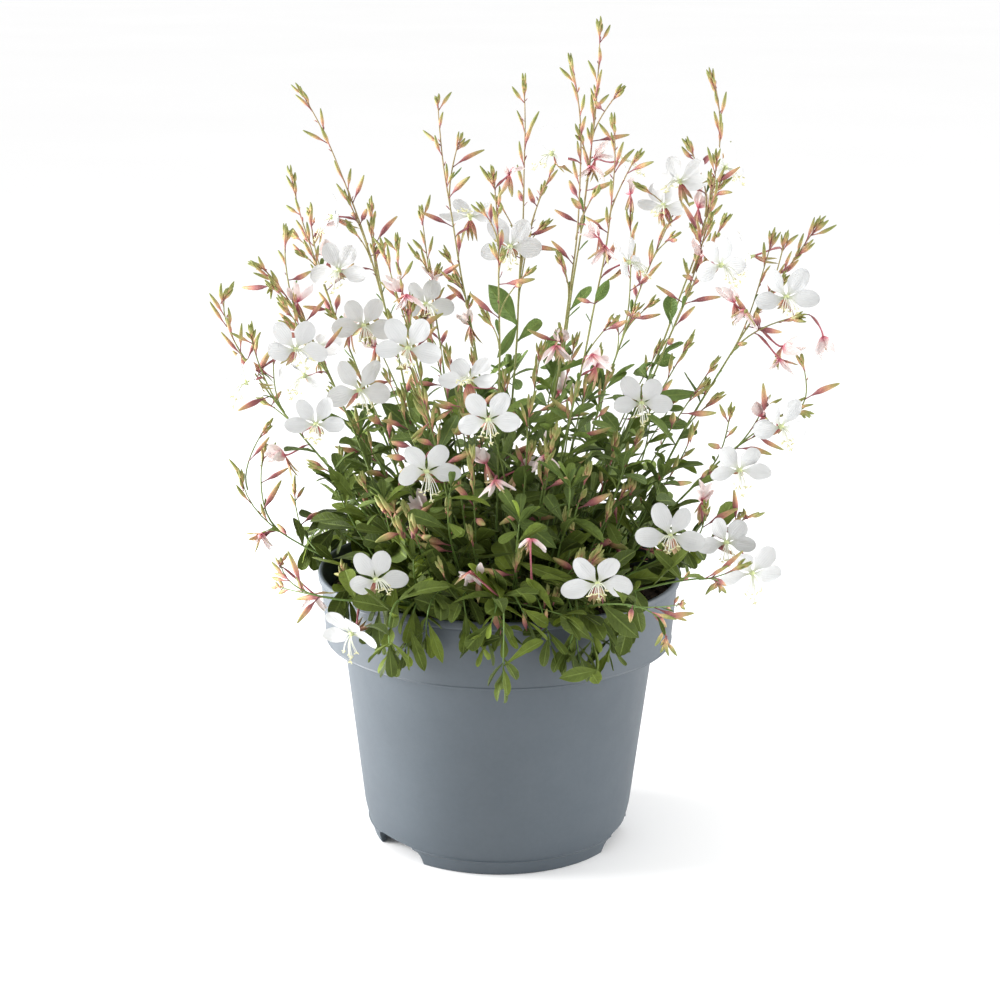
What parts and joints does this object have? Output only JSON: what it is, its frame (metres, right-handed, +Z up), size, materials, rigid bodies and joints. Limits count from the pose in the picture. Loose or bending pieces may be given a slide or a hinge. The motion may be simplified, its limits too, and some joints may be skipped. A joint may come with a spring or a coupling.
{
  "type": "potted gaura",
  "caption": "Potted gaura: slender wands of white butterfly-like flowers and reddish buds over a leafy clump, standing in a tapered plastic nursery pot.",
  "frame": {"origin": "middle of the pot's foot, on the surface it stands on", "axes": "+Z up along the pot's axis, -Y to the side the picture shows, +X to the right seen from there"},
  "size_m": [0.3074, 0.2459, 0.4325],
  "materials": {
    "pot": "injection-moulded polypropylene, semi-matt blue-grey",
    "soil": "moist peat compost, dark brown and crumbled",
    "foliage": "living stems, leaves and buds: green, satin, reddish towards the tips",
    "petals": "living petals: soft, thin, white with a pink blush as they age"
  },
  "bodies": {
    "root": {"pot": "pot", "soil": "soil", "stem_01": "foliage", "stem_02": "foliage", "stem_03": "foliage", "stem_04": "foliage", "stem_05": "foliage", "stem_06": "foliage", "stem_07": "foliage", "stem_08": "foliage", "stem_09": "foliage", "stem_10": "foliage", "stem_11": "foliage", "stem_12": "foliage", "stem_13": "foliage", "stem_14": "foliage", "stem_15": "foliage", "stem_16": "foliage", "stem_17": "foliage", "stem_18": "foliage", "stem_19": "foliage", "stem_20": "foliage", "stem_21": "foliage", "stem_22": "foliage", "stem_23": "foliage", "stem_24": "foliage", "flower_01": "petals", "flower_02": "petals", "flower_03": "petals", "flower_04": "petals", "flower_05": "petals", "flower_06": "petals", "flower_07": "petals", "flower_08": "petals", "flower_09": "petals", "flower_10": "petals", "flower_11": "petals", "flower_12": "petals", "flower_13": "petals", "flower_14": "petals", "flower_15": "petals", "flower_16": "petals", "flower_17": "petals", "flower_18": "petals", "flower_19": "petals", "flower_20": "petals", "flower_21": "petals", "flower_22": "petals", "flower_23": "petals", "flower_24": "petals", "flower_25": "petals", "flower_26": "petals", "flower_27": "petals", "flower_28": "petals", "flower_29": "petals", "flower_30": "petals", "flower_31": "petals", "flower_32": "petals", "flower_33": "petals", "flower_34": "petals"}
  },
  "joints": []
}
